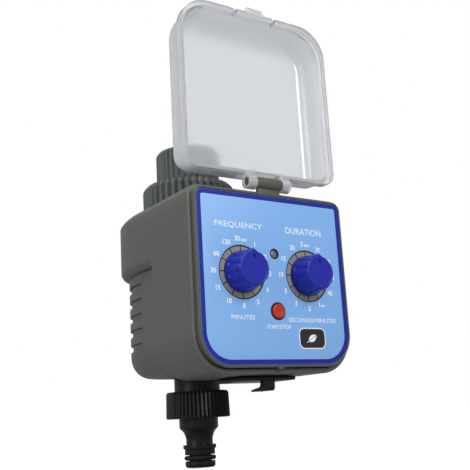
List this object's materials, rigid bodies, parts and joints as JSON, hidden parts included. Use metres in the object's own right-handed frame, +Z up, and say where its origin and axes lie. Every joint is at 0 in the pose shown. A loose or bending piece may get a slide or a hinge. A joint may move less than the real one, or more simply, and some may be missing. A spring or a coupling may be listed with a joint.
{
  "type": "drip irrigation timer",
  "caption": "Tap-mounted irrigation timer: grey case with two setting dials, flip-up clear lid, battery drawer, threaded inlet nut and adapter, ball valve and quick-connect outlet.",
  "frame": {"origin": "centre of the inlet mouth, the open top of the tap adapter, on the water column axis", "axes": "+Z up along the water column towards the tap, -Y towards the front face with the dials, +X to the right of the front face"},
  "size_m": [0.0916, 0.1165, 0.232],
  "materials": {
    "case_grey": "fine matt mould texture",
    "ring_grey": "satin moulded plastic",
    "black_plastic": "satin moulded plastic",
    "rubber": "matt rubber",
    "label_blue": "printed satin film",
    "knob_blue": "satin moulded plastic",
    "button_red": "satin moulded plastic",
    "lid_clear": "frosted clear plastic",
    "lamp_smoke": "smoked clear plastic",
    "lamp_red": "clear tinted plastic",
    "board_green": "solder mask",
    "steel": "bright zinc plate",
    "nylon_white": "moulded nylon",
    "brass": "turned brass",
    "metal_can": "plain metal can",
    "lead_sleeve": "soft wire sleeve"
  },
  "bodies": {
    "timer_case": {"rear_housing": "case_grey", "front_bezel": "case_grey", "valve_body": "black_plastic", "outlet_connector": "black_plastic", "inlet_spigot": "black_plastic", "gearbox_plate": "black_plastic", "position_switch": "black_plastic", "frequency_switch": "black_plastic", "duration_switch": "black_plastic", "tact_switch": "black_plastic", "bezel_gasket": "rubber", "frequency_shaft_seal": "rubber", "duration_shaft_seal": "rubber", "button_seal": "rubber", "outlet_washer": "rubber", "nipple_ring": "rubber", "stem_seal": "rubber", "face_label": "label_blue", "lamp_lens": "lamp_smoke", "status_lamp": "lamp_red", "circuit_board": "board_green", "bezel_screw_1": "steel", "bezel_screw_2": "steel", "bezel_screw_3": "steel", "bezel_screw_4": "steel", "pocket_contact_left": "steel", "pocket_contact_right": "steel", "idler_axle": "steel", "upper_ball_seat": "nylon_white", "lower_ball_seat": "nylon_white", "gear_motor": "metal_can", "motor_lead": "lead_sleeve", "battery_lead": "lead_sleeve"},
    "lid": {"clear_lid": "lid_clear"},
    "frequency_dial": {"frequency_knob": "knob_blue", "frequency_shaft": "nylon_white"},
    "duration_dial": {"duration_knob": "knob_blue", "duration_shaft": "nylon_white"},
    "start_stop": {"start_stop_button": "button_red"},
    "drawer": {"battery_drawer": "black_plastic", "drawer_seal": "rubber", "battery_left": "metal_can", "battery_right": "metal_can"},
    "inlet_swivel": {"inlet_nut": "ring_grey", "inlet_adapter": "ring_grey", "tap_washer": "rubber", "adapter_washer": "rubber", "inlet_filter": "nylon_white"},
    "ball": {"valve_ball": "brass", "ball_stem": "steel", "ball_gear": "nylon_white"},
    "idler": {"idler_gear": "nylon_white"},
    "motor_rotor": {"motor_pinion": "brass"}
  },
  "joints": [
    {"name": "lid_hinge", "type": "hinge", "parent": "timer_case", "child": "lid", "pos_m": [0, -0.07606, -0.03965], "axis": [1, 0, 0], "range_deg": [0, 180]},
    {"name": "frequency_turn", "type": "hinge", "parent": "timer_case", "child": "frequency_dial", "pos_m": [-0.0193, -0.0781, -0.0852], "axis": [0, 1, 0], "range_deg": [0, 330]},
    {"name": "duration_turn", "type": "hinge", "parent": "timer_case", "child": "duration_dial", "pos_m": [0.0193, -0.0781, -0.0852], "axis": [0, 1, 0], "range_deg": [0, 330]},
    {"name": "button_press", "type": "slide", "parent": "timer_case", "child": "start_stop", "axis": [0, 1, 0], "range_m": [0, 0.0012], "stiffness_N_per_m": 800, "springref_m": -0.0005},
    {"name": "drawer_pull", "type": "slide", "parent": "timer_case", "child": "drawer", "axis": [0, 0, -1], "range_m": [0, 0.058]},
    {"name": "inlet_turn", "type": "hinge", "parent": "timer_case", "child": "inlet_swivel", "pos_m": [0, 0, 0], "axis": [0, 0, 1], "continuous": true},
    {"name": "ball_turn", "type": "hinge", "parent": "timer_case", "child": "ball", "pos_m": [0, 0, -0.084], "axis": [0, 1, 0], "range_deg": [0, 90]},
    {"name": "idler_turn", "type": "hinge", "parent": "timer_case", "child": "idler", "pos_m": [0.01301, -0.0261, -0.07469], "axis": [0, 1, 0], "range_deg": [-360, 0]},
    {"name": "motor_turn", "type": "hinge", "parent": "timer_case", "child": "motor_rotor", "pos_m": [0.01848, -0.0261, -0.05965], "axis": [0, 1, 0], "range_deg": [0, 1440]}
  ],
  "couplings": [
    {"joint": "idler_turn", "follows": "ball_turn", "ratio": -4},
    {"joint": "motor_turn", "follows": "ball_turn", "ratio": 16}
  ]
}
